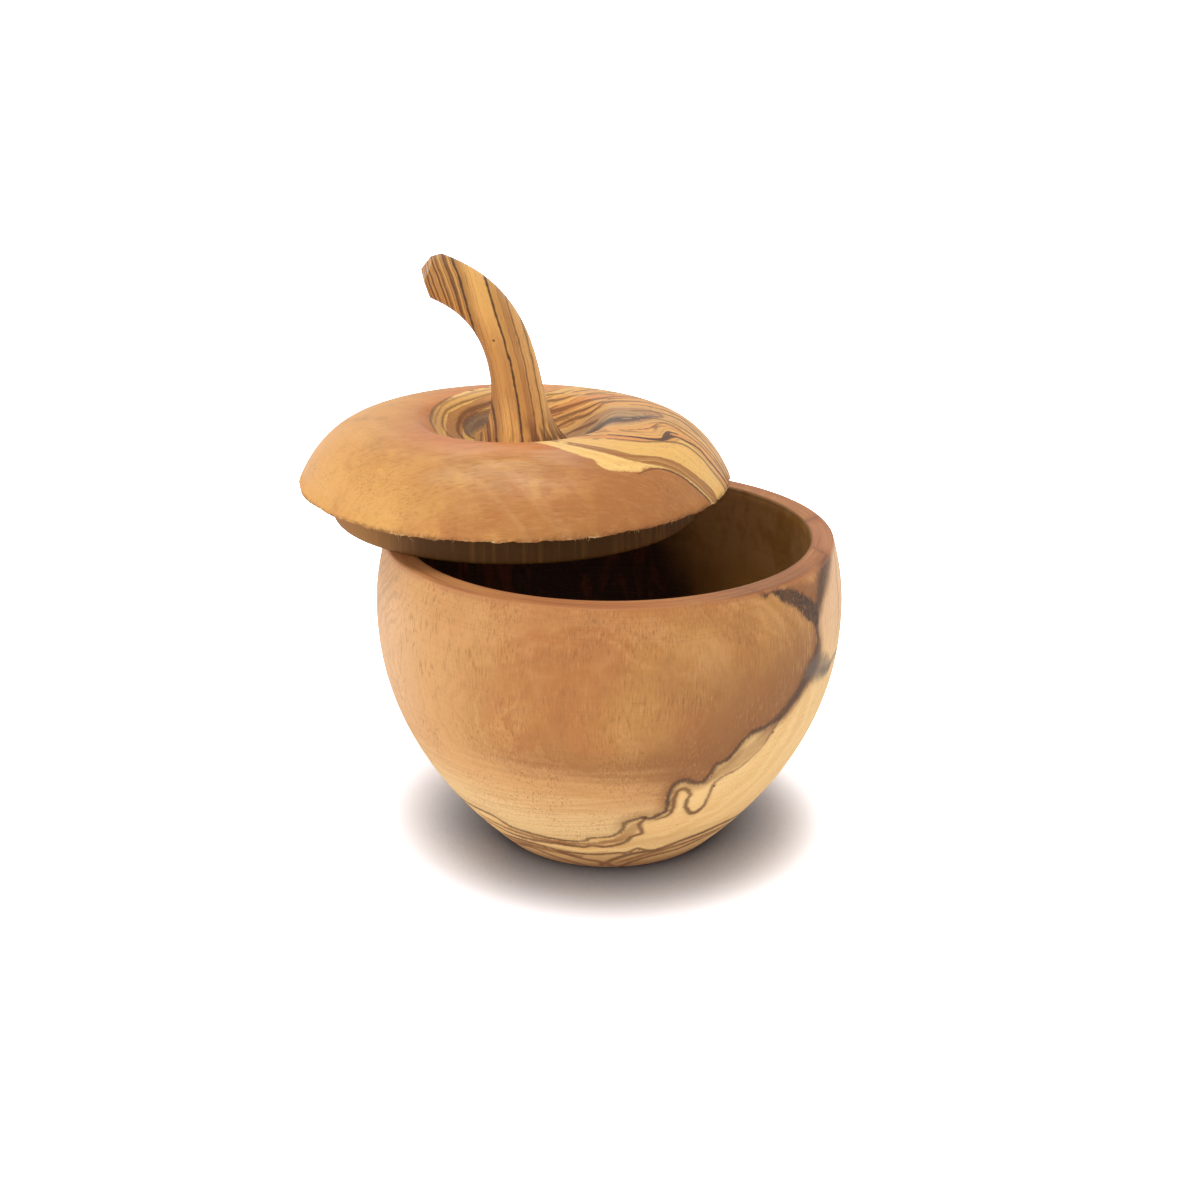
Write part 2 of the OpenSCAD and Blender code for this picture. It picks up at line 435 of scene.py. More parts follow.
BOTTOM_LINES = [
    [(-62, 4.6, 0.26), (-50.8, 4.8, 0.52), (-38.9, 6.5), (-28.1, 6.9, 0.59), (-19.4, 6.4),
     (-11.8, 6.2, 0.52), (-4.3, 6.4), (3, 7.1, 0.45), (7.4, 7.3), (10.6, 8.6, 0.52), (13.6, 7.7, 0.39),
     (17, 7.2, 0.13)],
    [(-2.5, 1.4, 0.65), (-0.7, 2.5), (5.1, 5.2, 0.72), (10.4, 6.5), (15, 6.8), (19.6, 7.1, 0.78), (27, 8.9),
     (34.3, 9.8, 0.85), (44.6, 10.5, 0.78), (54.6, 9.8, 0.65), (66, 10.5, 0.26)],
    [(-24, 6.9, 0.26), (-17.8, 5.4, 0.52), (-10.7, 3.8), (-2.8, 2.7), (2, 0.8)],
    [(7, 0.4, 0.59), (10, 2.2, 0.65), (15.6, 3.8), (21.3, 4.6), (29.6, 5.1), (37.4, 6.4), (46.3, 7.3),
     (58, 6.6, 0.26)],
    [(-52, 1.6, 0.26), (-43, 3.2, 0.52), (-34.3, 4.5, 0.59), (-28.3, 3.6, 0.52), (-22.5, 2.4), (-16, 1.4),
     (-10, 0.2, 0.39)],
]
# Soft brown fills between those lines, and the shade between the rim and its dark band
FILLS = [
    [(44.6, 39.6, 0.5), (41.6, 37.2, 1.3), (38.4, 34.8, 1.8), (35, 32.9, 2), (31.8, 31.2, 1.7),
     (28.6, 29.8, 1.2), (26, 28.3, 0.4)],
    [(9.6, 18.8, 0.3), (7.8, 17.2, 1), (6.4, 15, 1.3), (3.6, 12.7, 1), (-1, 11.7, 0.8), (-7, 10.8, 0.5),
     (-14, 10.3, 0.6), (-25, 10.2, 0.7), (-38, 10.4), (-50, 11, 0.4)],
    [(-12, 4.9, 0.5), (-24, 5.6, 0.9), (-36, 5.4, 0.7), (-48, 3.8, 0.5)],
    [(5, 2.6, 0.5), (14, 5.2, 0.8), (25, 6.8, 0.9), (38, 8), (50, 8.6, 0.5)],
]
RIM_SHADE = [
    (47, 66.4, 0.3), (51, 65.2, 1.6), (54.5, 63.6, 2.4), (58, 62.6, 2.6), (61, 62.5, 1.4),
]
BOWL_STROKES = {
    "dark_marks": [RIM_BAND],
    "blotch": [BLOTCH],
    "grey_marks": [BRANCH],
    "brown_lines": [LOOP, TONGUE, *BOTTOM_LINES],
    "side_lines": [RIGHT_LINE],
    "brown_fills": FILLS,
    "rim_shade": [RIM_SHADE],
}


def on_bowl_surface(angle, z):
    """A place on the bowl's outside, from its angle in degrees and its height."""
    turn = math.radians(angle)
    radius = float(bowl_radius(z))
    return (radius * math.sin(turn), -radius * math.cos(turn), z)


def on_bowl(guide):
    """A guide of the bowl's figure as dense points on its surface, their half widths and facings."""
    angle, z, half, depth = catmull_rom(guide, 4).T
    radius = bowl_radius(z) - depth
    turn = np.radians(angle)
    places = np.column_stack([radius * np.sin(turn), -radius * np.cos(turn), np.minimum(z, BOWL_H)])
    on_rim = np.clip(depth / (RIM_WALL / 2), 0, 1)[:, None]
    facing = mix(places - np.array([0, 0, BOWL_H / 2]), np.array([0, 0, BOWL_H / 2]), on_rim)
    return places, half, facing


def make_bowl():
    points, faces = turned(bowl_outline(), BOWL_SIDES)
    bowl = make_piece("bowl_turned", points, faces)
    distance, width = across_lines(points, [on_bowl(HEART_EDGE)])
    set_number(bowl, "heart", -distance)
    set_number(bowl, "edge_half", width)
    for name, guides in BOWL_STROKES.items():
        set_strokes(bowl, name, points, [on_bowl(guide) for guide in guides])
    radius = np.hypot(points[:, 0], points[:, 1])
    depth = bowl_radius(points[:, 2]) - radius
    inner = smoothstep(RIM_WALL - INSIDE_FADE[0], RIM_WALL - INSIDE_FADE[1], depth)
    set_number(bowl, "inside", inner * (points[:, 2] > FLOOR_T / 2))
    land = smoothstep(BOWL_H - LAND_FADE[0], BOWL_H - LAND_FADE[1], points[:, 2])
    set_number(bowl, "land", land)
    return bowl


# Figure of the lid, seen from above in its own frame: growth value, then points along its line
LID_GROWTH = [
    (0, [(8, 46), (3, 39), (-4, 32), (-8.5, 26.5), (-11.8, 23.5), (-15, 18), (-18.1, 10.9), (-18.9, 6.4),
     (-18.8, 2.7), (-17.8, 0.1), (-13, -9), (-7, -16), (-1, -19.5), (4.9, -21.8), (8.3, -24.2),
     (11.7, -27.7), (15, -30), (17.6, -31), (18.7, -32.6), (21.1, -32.9), (23.9, -31.8), (26.8, -30.3),
     (28.2, -28.4), (32.2, -25.8), (34.7, -24.6), (37.3, -23.8), (39.9, -22.8), (42.1, -21.8)]),
    (1.5, [(-17.6, 1.5), (-17.7, 6), (-17.4, 9.4)]),
    (3.5, [(-15.9, 4.2), (-15.9, 10.6), (-13.6, 14), (-11.2, 16.7), (-7.3, 20.4)]),
    (5.5, [(-13.9, 5.8), (-13.2, 10.6), (12.6, -23.3), (18.8, -26.2), (27, -25.9), (33.3, -22.9),
     (37.5, -21.8), (40.8, -20.8), (43, -19.2)]),
    (8, [(-11.8, 10), (-9.6, 14.4), (-11.6, 6)]),
    (9.5, [(7, 19.4), (9.7, 21.4), (12.7, 24.6), (20, 27)]),
    (11, [(-7.9, 14), (-8.2, 10), (-7.6, 7), (32.2, -16.7), (34.5, -16), (37.8, -13.9), (39.9, -14.6),
     (42.6, -14.6), (44.8, -13.8)]),
    (13, [(7.1, 16.4), (10.5, 16.1), (14, 16.2), (16.2, 18.3), (19.6, 19.6), (23.1, 19.7), (27.7, 20.4),
     (36, 19), (43, 15)]),
    (14, [(7, -15.5), (13, -16.4), (18.7, -16.7), (20.8, -16.2), (25, -16.8), (29.2, -16.2), (31.8, -14.6),
     (33.2, -11.4), (35.9, -9), (38, -9.6), (41.3, -10), (43.4, -10.4), (45.7, -10.9)]),
    (16, [(8.8, 13.6), (12.9, 12.8), (16.3, 12), (17.9, 12.4), (20.8, 13), (28, 14.5)]),
    (16.6, [(20.8, -11.8), (25.1, -11.5), (29.4, -8.6), (31.7, -5.6), (34.2, -6), (37, -7.6), (40.2, -8.2),
     (42.9, -8.6), (45.4, -8.9)]),
    (19, [(12.9, 9.9), (16.3, 9.4), (18.6, 8.6), (24, 9), (30, 8), (33.6, 4.6), (36.2, 2.6), (40.5, -2.5),
     (43.4, -4), (46.6, -5.6)]),
    (24, [(20, 1), (25, 0)]),
]
# Strokes of the lid, as rows of (x, y, half width): nearly black lines, brown lines, brown band,
# and grey blobs
LID_DARK_LINES = [
    [(12, -17.2, 0.2), (16.8, -16.1, 0.35), (19.8, -15.6, 0.4), (24, -16.3), (28.2, -16.7, 0.5),
     (31.6, -15.4, 0.6), (33.4, -12.6), (34.9, -11.1, 0.4), (37.3, -10.9), (39.9, -10.4), (42, -11.2),
     (44.3, -10.6, 0.35), (46.6, -9.2, 0.3)],
    [(32, -14.8, 0.4), (32.7, -11.9, 0.55), (33.4, -9.6, 0.5), (34.6, -9.3, 0.3)],
    [(27, -30.5, 0.05), (30.1, -27.3, 0.1), (34.3, -25, 0.15), (38.5, -23.5, 0.18), (42, -21.8, 0.15)],
]
LID_BROWN_LINES = [
    [(6, 11.5, 0.4), (7.9, 11.9), (10.6, 12.2), (13.4, 11.4), (16.5, 9.8), (18.8, 10.8), (21, 13.6),
     (24.2, 14.2, 0.35), (30, 14, 0.3), (37, 10.5)],
    [(6, 14.4, 0.35), (8.3, 14.1), (10.6, 13.8), (13.3, 13), (16, 12.1), (18.3, 12.4), (20.4, 15.5, 0.3),
     (24, 17, 0.2)],
    [(5, 16.6, 0.4), (7.3, 16.2, 0.45), (10.6, 15.6), (14.2, 15, 0.4), (17.4, 15.6), (19.7, 17.4, 0.35),
     (25, 19.4, 0.3), (33, 18.6)],
    [(5, 19, 0.35), (6.8, 18.7), (10.5, 18.3), (14.1, 19.5), (17.3, 21.9, 0.3), (24, 24.5), (31, 25, 0.2)],
    [(6.8, 20.6, 0.3), (10.4, 21), (14.1, 23.8), (20, 28), (26, 31, 0.2)],
    [(10.7, 7.7, 0.3), (12.5, 8.3, 0.35), (15.2, 7.1, 0.4), (17.5, 5.3, 0.5)],
    [(15.6, -19.9, 0.2), (19.8, -18.7, 0.3), (24, -19), (28.1, -18.7), (32.4, -15.9), (36.3, -13.4, 0.35),
     (39.8, -13.2), (42.4, -13.5), (45, -12.6, 0.3)],
    [(12, -11.5, 0.2), (20.8, -11.8, 0.3), (25.1, -11.5), (29.4, -9.1), (31.7, -4.3, 0.35), (34.2, -4.7),
     (37, -7), (40.2, -7.9), (42.9, -8.4, 0.3), (46, -8)],
    [(24, 4.6, 0.3), (29, 5.4, 0.35), (33.6, 4.2, 0.4), (36.3, 2.4), (40.5, -2.5), (43.7, -4.6, 0.35),
     (46.8, -5.6, 0.3)],
    [(27, -1.6, 0.2), (31, -1.2, 0.3), (35, -2.6, 0.35), (39, -5.4), (43, -6.6, 0.3), (46.6, -7, 0.25)],
    [(30, 9.4, 0.25), (34.6, 7.6, 0.35), (39, 3), (43, -0.6, 0.3), (47, -2.2)],
    [(-16.2, -2.4, 0.2), (-17.6, 0.1, 0.25), (-18.7, 2.7, 0.3), (-18.8, 6.4), (-18, 10.9, 0.28),
     (-15, 18, 0.3), (-11.7, 23.3), (-7.6, 26.9), (-2.3, 31.3), (5, 37.4)],
    [(-12.4, 3.6, 0.15), (-13.6, 3.5), (-15.2, 3.7, 0.18), (-16.3, 5), (-16.6, 7.6), (-15.9, 11.2),
     (-13.2, 15.3, 0.2), (-10.2, 18.1), (-6.8, 21), (-2, 25), (4, 30.3)],
    [(-12.2, 5.5, 0.3), (-13.2, 7.5, 0.35), (-13.2, 10.6, 0.4), (-12.1, 13.5), (-10, 15.8, 0.45),
     (-6.9, 18.1, 0.4), (-2, 21.6, 0.35), (4, 26, 0.3)],
    [(-9.7, 5, 0.4), (-11.3, 8.3, 0.5), (-12, 10.2), (-11.5, 12, 0.6), (-9.9, 14.2), (-7.3, 16.1, 0.5),
     (-3, 18.6, 0.4)],
]
LID_BAND = [
    [(6, -19.6, 0.2), (10, -21, 0.45), (13.2, -23.2, 0.75), (16.3, -24.9, 0.95), (19.4, -26.1, 1),
     (22.3, -26.8), (25.3, -26.9, 0.9), (28.2, -26, 1), (31.4, -24.4, 1.1), (34.3, -23.2), (36.9, -22.3, 1),
     (39.9, -21.2, 0.9), (42.8, -19.6, 0.8)],
]
LID_BLOBS = [
    [(15.6, 3.4, 0.5), (17.6, 1.6, 1.2), (19.6, -0.6, 1.9), (21.8, -2.2, 2.2), (24.2, -2.4, 1.8),
     (27, -0.8, 1.1), (30, 0.8, 0.5)],
    [(-11, 8, 0.5), (-10.9, 10.4, 1.1), (-9.6, 12.6, 1.3), (-7.4, 14.6, 0.9), (-4.4, 16, 0.4)],
]
LID_STROKES = {
    "dark_lines": LID_DARK_LINES,
    "brown_lines": LID_BROWN_LINES,
    "brown_band": LID_BAND,
    "blobs": LID_BLOBS,
}


def thin_plate(places, guides, stiffness=0.4):
    """A smooth height over the plan that takes each guide's value along that guide."""
    centres = np.array([point for value, points in guides for point in points], float)
    values = np.array([value for value, points in guides for point in points], float)

    def bend(a, b):
        squared = ((a[:, None] - b[None]) ** 2).sum(axis=2)
        return squared * np.log(squared + 1e-9)

    count = len(centres)
    plane = np.column_stack([np.ones(count), centres])
    system = np.zeros((count + 3, count + 3))
    system[:count, :count] = bend(centres, centres) + stiffness * np.eye(count)
    system[:count, count:] = plane
    system[count:, :count] = plane.T
    weights = np.linalg.solve(system, np.concatenate([values, np.zeros(3)]))
    return bend(places, centres) @ weights[:count] + weights[count] + places @ weights[count + 1:]


def on_lid(guide):
    x, y, half = catmull_rom(guide, 3).T
    places = np.column_stack([x, y, np.zeros(len(x))])
    return places, half, np.tile([0.0, 0.0, 1.0], (len(x), 1))


def torn_profile(random, parts):
    """A random length for each side of the lid, as a sum of (size, spread), in mm and in sides."""
    total = np.zeros(LID_SIDES)
    for size, spread in parts:
        window = np.hanning(spread * 2 + 1)
        values = random.normal(0, 1, LID_SIDES)
        around = np.concatenate([values[-spread:], values, values[:spread]])
        total += size * np.convolve(around, window / np.sqrt((window**2).sum()), "valid")
    return total


def ragged_edge(points, seed):
    """Moves the lid's lower edge by small random steps round it, where the tool tore its fibres."""
    radius = np.hypot(points[:, 0], points[:, 1])
    turn = np.arctan2(points[:, 1], points[:, 0]) % (2 * math.pi)
    side = np.round(turn * LID_SIDES / (2 * math.pi)).astype(int) % LID_SIDES
    random = np.random.default_rng(seed)
    depth = torn_profile(random, TORN_DEPTH)
    drop = torn_profile(random, TORN_DROP)
    edge = np.exp(-((LID_R - radius) ** 2 + points[:, 2] ** 2) / TORN_REACH)
    scale = 1 - edge * np.abs(depth[side]) / LID_R
    points[:, :2] *= scale[:, None]
    points[:, 2] += edge * np.clip(drop[side], -TORN_LIMIT, TORN_LIMIT)
    return points


def make_lid():
    points, faces = turned(lid_outline(), LID_SIDES)
    points = ragged_edge(points, seed=11)
    lid = make_piece("lid_turned", points, faces, LID_PLACE)
    set_number(lid, "grow", thin_plate(points[:, :2], LID_GROWTH))
    plan = points * np.array([1, 1, 0])
    boundary = on_lid(LID_GROWTH[0][1])
    set_number(lid, "heart", across_lines(plan, [boundary])[0])
    for name, guides in LID_STROKES.items():
        set_strokes(lid, name, plan, [on_lid(guide) for guide in guides])
    radius = np.hypot(points[:, 0], points[:, 1])
    below = (points[:, 2] < 0.25) * (radius < LID_R - 0.5)
    set_number(lid, "below", below)
    set_number(lid, "torn", smoothstep(LID_R - 1.6, LID_R - 0.5, radius))
    return lid


def make_fibres(seed=5):
    """Torn slivers of wood that hang in clumps along the lid's lower edge."""
    random = np.random.default_rng(seed)
    clumps = random.uniform(0, 2 * math.pi, SLIVER_CLUMPS)
    points = []
    faces = []
    for count, length_range, width in SLIVERS:
        for _ in range(count):
            turn = random.choice(clumps) + random.normal(0, 0.022)
            length = random.uniform(*length_range)
            swing = random.normal(0, 1.1)
            rise = random.uniform(-0.9, 0.15)
            root = np.array([(LID_R - 0.55) * math.cos(turn), (LID_R - 0.55) * math.sin(turn), 0.06])
            out = np.array([math.cos(turn), math.sin(turn), 0.0])
            along = np.array([-math.sin(turn), math.cos(turn), 0.0])
            heading = 0.35 * out + swing * along + np.array([0, 0, rise])
            heading /= np.linalg.norm(heading)
            add_sliver(points, faces, root, heading, length, width * random.uniform(0.6, 1.5), random)
    places = np.array(points)
    radius = np.hypot(places[:, 0], places[:, 1])
    places[:, :2] *= np.minimum(1, (LID_R - 0.03) / radius)[:, None]
    return make_piece("lid_torn_fibres", places, faces, LID_PLACE)


def add_sliver(points, faces, root, heading, length, width, random):
    """One tapered three-sided sliver that bends a little on its way."""
    bend = random.normal(0, 0.25, 3) * length
    side = np.cross(heading, (0, 0, 1))
    side /= np.linalg.norm(side)
    up = np.cross(side, heading)
    first = len(points)
    for i in range(SLIVER_RINGS):
        t = i / (SLIVER_RINGS - 1)
        middle = root + heading * length * t + bend * t * t
        taper = width * (1 - 0.85 * t)
        for k in range(3):
            a = 2 * math.pi * k / 3
            points.append(middle + taper * (math.cos(a) * side + 0.6 * math.sin(a) * up))
    for i in range(SLIVER_RINGS - 1):
        for k in range(3):
            a = first + i * 3 + k
            b = first + i * 3 + (k + 1) % 3
            faces.append([a, b, b + 3, a + 3])
    faces.append([first + 2, first + 1, first])
    last = first + (SLIVER_RINGS - 1) * 3
    faces.append([last, last + 1, last + 2])


# Stem


def stem_line(t):
    """Middle line of the stem at t, as (across, up) from the middle of its foot."""
    handles = np.array([
        (0, 0),
        (0, STEM_RISE * LOW_HANDLE_RISE),
        (-STEM_REACH * HIGH_HANDLE_REACH, STEM_RISE * HIGH_HANDLE_RISE),
        (-STEM_REACH, STEM_RISE),
    ])
    w = np.column_stack([(1 - t) ** 3, 3 * t * (1 - t) ** 2, 3 * t * t * (1 - t), t**3])
    return w @ handles


def stem_half(plain, t, up):
    flare = np.exp(-up / FLARE_H)
    return mix(mix(plain, plain * TIP_W / STEM_W, t**2), FOOT_W, flare) / 2


# Cuts of the knife at the stem's end: a point on each, and its direction out, in the lid's frame
STEM_CUTS = [
    ((-17.6, -3.0, 46.0), (-0.90, -0.22, 0.40)),
    ((-18.1, -3.0, 41.6), (-0.94, -0.12, -0.30)),
    ((-15.6, 2.0, 48.0), (-0.45, 0.35, 0.82)),
    ((-14.0, 0.0, 48.35), (-0.06, -0.10, 0.99)),
]


def make_stem():
    t = steps(STEM_RINGS) ** STEM_CROWDING * STEM_OVERRUN
    middle = stem_line(t)
    heading = np.gradient(middle, axis=0)
    heading /= np.linalg.norm(heading, axis=1)[:, None]
    a = np.arange(STEM_SIDES) * 2 * math.pi / STEM_SIDES
    square_x = np.sign(np.cos(a)) * np.abs(np.cos(a)) ** (2 / STEM_SQUARE)
    square_y = np.sign(np.sin(a)) * np.abs(np.sin(a)) ** (2 / STEM_SQUARE)
    t_end = np.minimum(t, 1.0)
    u = stem_half(STEM_W, t_end, middle[:, 1])[:, None] * square_x
    v = stem_half(STEM_T, t_end, middle[:, 1])[:, None] * square_y
    x = FOOT_SHIFT + middle[:, :1] + heading[:, 1:] * u
    z = SEAT_H + middle[:, 1:] - heading[:, :1] * u
    points = np.stack([x, v, z], axis=2).reshape(-1, 3)
    k = np.arange(STEM_SIDES)
    after = (k + 1) % STEM_SIDES
    low = np.arange(STEM_RINGS)[:, None] * STEM_SIDES
    quads = np.stack([low + k, low + k + STEM_SIDES, low + after + STEM_SIDES, low + after], axis=2)
    faces = quads.reshape(-1, 4).tolist()
    faces.append(k.tolist())
    faces.append((STEM_RINGS * STEM_SIDES + k[::-1]).tolist())
    stem = make_piece("stem_carved", points, faces, LID_PLACE)
    cut_stem(stem)
    return stem


def cut_stem(stem):
    """Cuts the stem's end with flat strokes of a knife, and shades it smooth except at corners sharper than
    SHARP_ANGLE.
    """
    work = bmesh.new()
    work.from_mesh(stem.data)
    for place, direction in STEM_CUTS:
        whole = work.verts[:] + work.edges[:] + work.faces[:]
        made = bmesh.ops.bisect_plane(
            work, geom=whole, plane_co=Vector(place) * MM, plane_no=Vector(direction), clear_outer=True
        )
        edges = [e for e in made["geom_cut"] if isinstance(e, bmesh.types.BMEdge)]
        bmesh.ops.holes_fill(work, edges=edges, sides=0)
    bmesh.ops.recalc_face_normals(work, faces=work.faces[:])
    work.to_mesh(stem.data)
    work.free()
    stem.data.shade_smooth()
    stem.data.set_sharp_from_angle(angle=math.radians(SHARP_ANGLE))


# Materials


def operation(kind):
    """A method of Value that adds one math node."""
    return lambda self, *others: self.wood.math(kind, self, *others)


class Value:
    """One number inside a material, so that shading can be written as formulas."""

    def __init__(self, wood, socket):
        self.wood = wood
        self.socket = socket

    __add__ = __radd__ = operation("ADD")
    __mul__ = __rmul__ = operation("MULTIPLY")
    __sub__ = operation("SUBTRACT")
    __truediv__ = operation("DIVIDE")
    size = operation("ABSOLUTE")
    root = operation("SQRT")
    top = operation("MAXIMUM")

    def __rsub__(self, other):
        return self.wood.math("SUBTRACT", other, self)

    def rise(self, low, high):
        """0 below low and 1 above high, eased between them; a low above high turns it round."""
        start, stop = (0.0, 1.0) if low < high else (1.0, 0.0)
        inputs = {"Value": self, "From Min": min(low, high), "From Max": max(low, high)}
        inputs |= {"To Min": start, "To Max": stop}
        node = self.wood.node("MapRange", inputs, interpolation_type="SMOOTHSTEP")
        return Value(self.wood, node.outputs["Result"])


class Nodes:
    """Adds nodes to the node tree of a material or a world."""

    def __init__(self, tree):
        self.tree = tree

    def node(self, kind, inputs=None, **settings):
        made = self.tree.nodes.new("ShaderNode" + kind)
        for key, setting in settings.items():
            setattr(made, key, setting)
        for key, value in (inputs or {}).items():
            self.put(made.inputs[key], value)
        return made

    def put(self, socket, value):
        if isinstance(value, Value):
            value = value.socket
        if isinstance(value, bpy.types.NodeSocket):
            self.tree.links.new(value, socket)
        else:
            socket.default_value = value

    def math(self, kind, *values):
        made = self.node("Math", dict(enumerate(values)), operation=kind)
        return Value(self, made.outputs[0])

    def seen(self):
        """1 for what the camera sees, also through glass, and 0 for what lights the scene."""
        path = self.node("LightPath").outputs
        return self.math("MAXIMUM", path["Is Camera Ray"], path["Is Transmission Ray"])


class Wood(Nodes):
    """Builds one wood material; lengths in it are in mm in the piece's own frame, and spacing is the
    mesh's."""

    def __init__(self, name, spacing=0.5):
        self.spacing = spacing
        self.material = bpy.data.materials.new(name)
        self.material.use_nodes = True
        super().__init__(self.material.node_tree)
        self.tree.nodes.clear()
        place = self.node("SeparateXYZ", {"Vector": self.node("TexCoord").outputs["Object"]})
        self.x, self.y, self.z = (Value(self, out) * (1 / MM) for out in place.outputs)

    def point(self, x, y, z):
        return self.node("CombineXYZ", {"X": x, "Y": y, "Z": z}).outputs[0]

    def noise(self, x, y, z, detail=2.0, roughness=0.5, distortion=0.0):
        """Noise of 0 to 1 at a place whose coordinates are already scaled."""
        inputs = {"Vector": self.point(x, y, z), "Scale": 1.0, "Detail": detail, "Roughness": roughness}
        inputs["Distortion"] = distortion
        return Value(self, self.node("TexNoise", inputs).outputs["Fac"])

    def mottle(self, level, upright, **settings):
        """Noise of 0 to 1 over the piece, from its scales across and up."""
        return self.noise(self.x * level, self.y * level, self.z * upright, **settings)

    def noise_along(self, value, detail=2.0):
        """Noise of 0 to 1 that changes with one number alone."""
        inputs = {"W": value, "Scale": 1.0, "Detail": detail}
        return Value(self, self.node("TexNoise", inputs, noise_dimensions="1D").outputs["Fac"])

    def bands(self, value):
        """Bands of random width along a number: a random tone for each, and the distance to its edge."""
        inputs = {"W": value, "Scale": 1.0}
        tone = self.node("TexVoronoi", inputs, voronoi_dimensions="1D").outputs["Color"]
        edge = self.node("TexVoronoi", inputs, voronoi_dimensions="1D", feature="DISTANCE_TO_EDGE")
        red = self.node("SeparateColor", {"Color": tone}).outputs["Red"]
        return Value(self, red), Value(self, edge.outputs["Distance"])

    def number(self, name):
        return Value(self, self.node("Attribute", attribute_name=name).outputs["Fac"])

    def stroke(self, name, shift, soft):
        """How much a stroke kept on the mesh covers a place, with its distance shifted by noise."""
        inside, sure = self._within(name, shift)
        return inside.rise(-soft, soft) * sure

    def stroke_sides(self, name, shift, width):
        """Both sides of a stroke, as thin lines."""
        inside, sure = self._within(name, shift)
        return inside.size().rise(width, width * 0.3) * sure

    def _within(self, name, shift):
        """Depth inside a stroke, and 0 where two strokes' signs cancel halfway between them."""
        vector = self.node("Attribute", attribute_name=name).outputs["Vector"]
        parts = self.node("SeparateXYZ", {"Vector": vector}).outputs
        distance, half, length = (Value(self, part) for part in parts)
        sure = (length - distance.size()).rise(self.spacing, self.spacing * 0.6)
        return half - (distance + shift).size(), sure

    def spot(self, place, radius):
        """1 within a small round place, fading at its edge."""
        across, deep, high = (value - middle for value, middle in zip((self.x, self.y, self.z), place))
        distance = (across * across + deep * deep + high * high).root()
        return distance.rise(radius, radius * 0.5)

    def blend(self, share, first, second):
        """From one colour to another by a share; each is a socket or three sRGB numbers."""
        made = self.node("Mix", {"Factor": share}, data_type="RGBA", clamp_factor=True)
        for socket, colour in ((6, first), (7, second)):
            self.put(made.inputs[socket], linear(colour) if isinstance(colour, tuple) else colour)
        return made.outputs[2]

    def coats(self, colour, *coats):
        """A colour under several coats of (share, colour), in the order in which they go on."""
        for share, coat in coats:
            colour = self.blend(share, colour, coat)
        return colour

    def finish(self, colour, roughness, height, depth):
        """The surface itself: satin wood with fine relief of the given depth in mm."""
        bump = self.node("Bump", {"Height": height, "Distance": depth * MM, "Strength": 1.0})
        inputs = {"Base Color": colour, "Roughness": roughness, "Normal": bump.outputs[0]}
        inputs["Specular IOR Level"] = SPECULAR
        surface = self.node("BsdfPrincipled", inputs)
        output = self.node("OutputMaterial", {"Surface": surface.outputs[0]})
        output.is_active_output = True
        return self.material


UPRIGHT = (2.9, 2.9, 0.40)
LEVEL = (0.42, 2.6, 2.6)


def fibre_flecks(wood, colour, light_share, dark_share, run=UPRIGHT):
    """Short thin light and dark marks along the fibres, in stronger and weaker patches."""
    marks = wood.noise(wood.x * run[0], wood.y * run[1], wood.z * run[2], detail=3, roughness=0.65)
    patch = wood.mottle(0.11, 0.11).rise(0.36, 0.62)
    return wood.coats(
        colour,
        (marks.rise(0.54, 0.68) * (light_share * (0.4 + patch)), HEART_LIGHT),
        (marks.rise(0.48, 0.34) * (dark_share * (0.5 + patch)), HEART_DEEP),
    )


# Small dark knots of the bowl, as places on its surface
BOWL_KNOTS = [(28.4, 26.5), (43.3, 36.5)]

# Where the bowl's growth sheets have their pith, and how they lean
BOWL_PITH = (4.0, 34.0)
BOWL_LEAN = 0.12
BOWL_FRONT_RING = 77.8


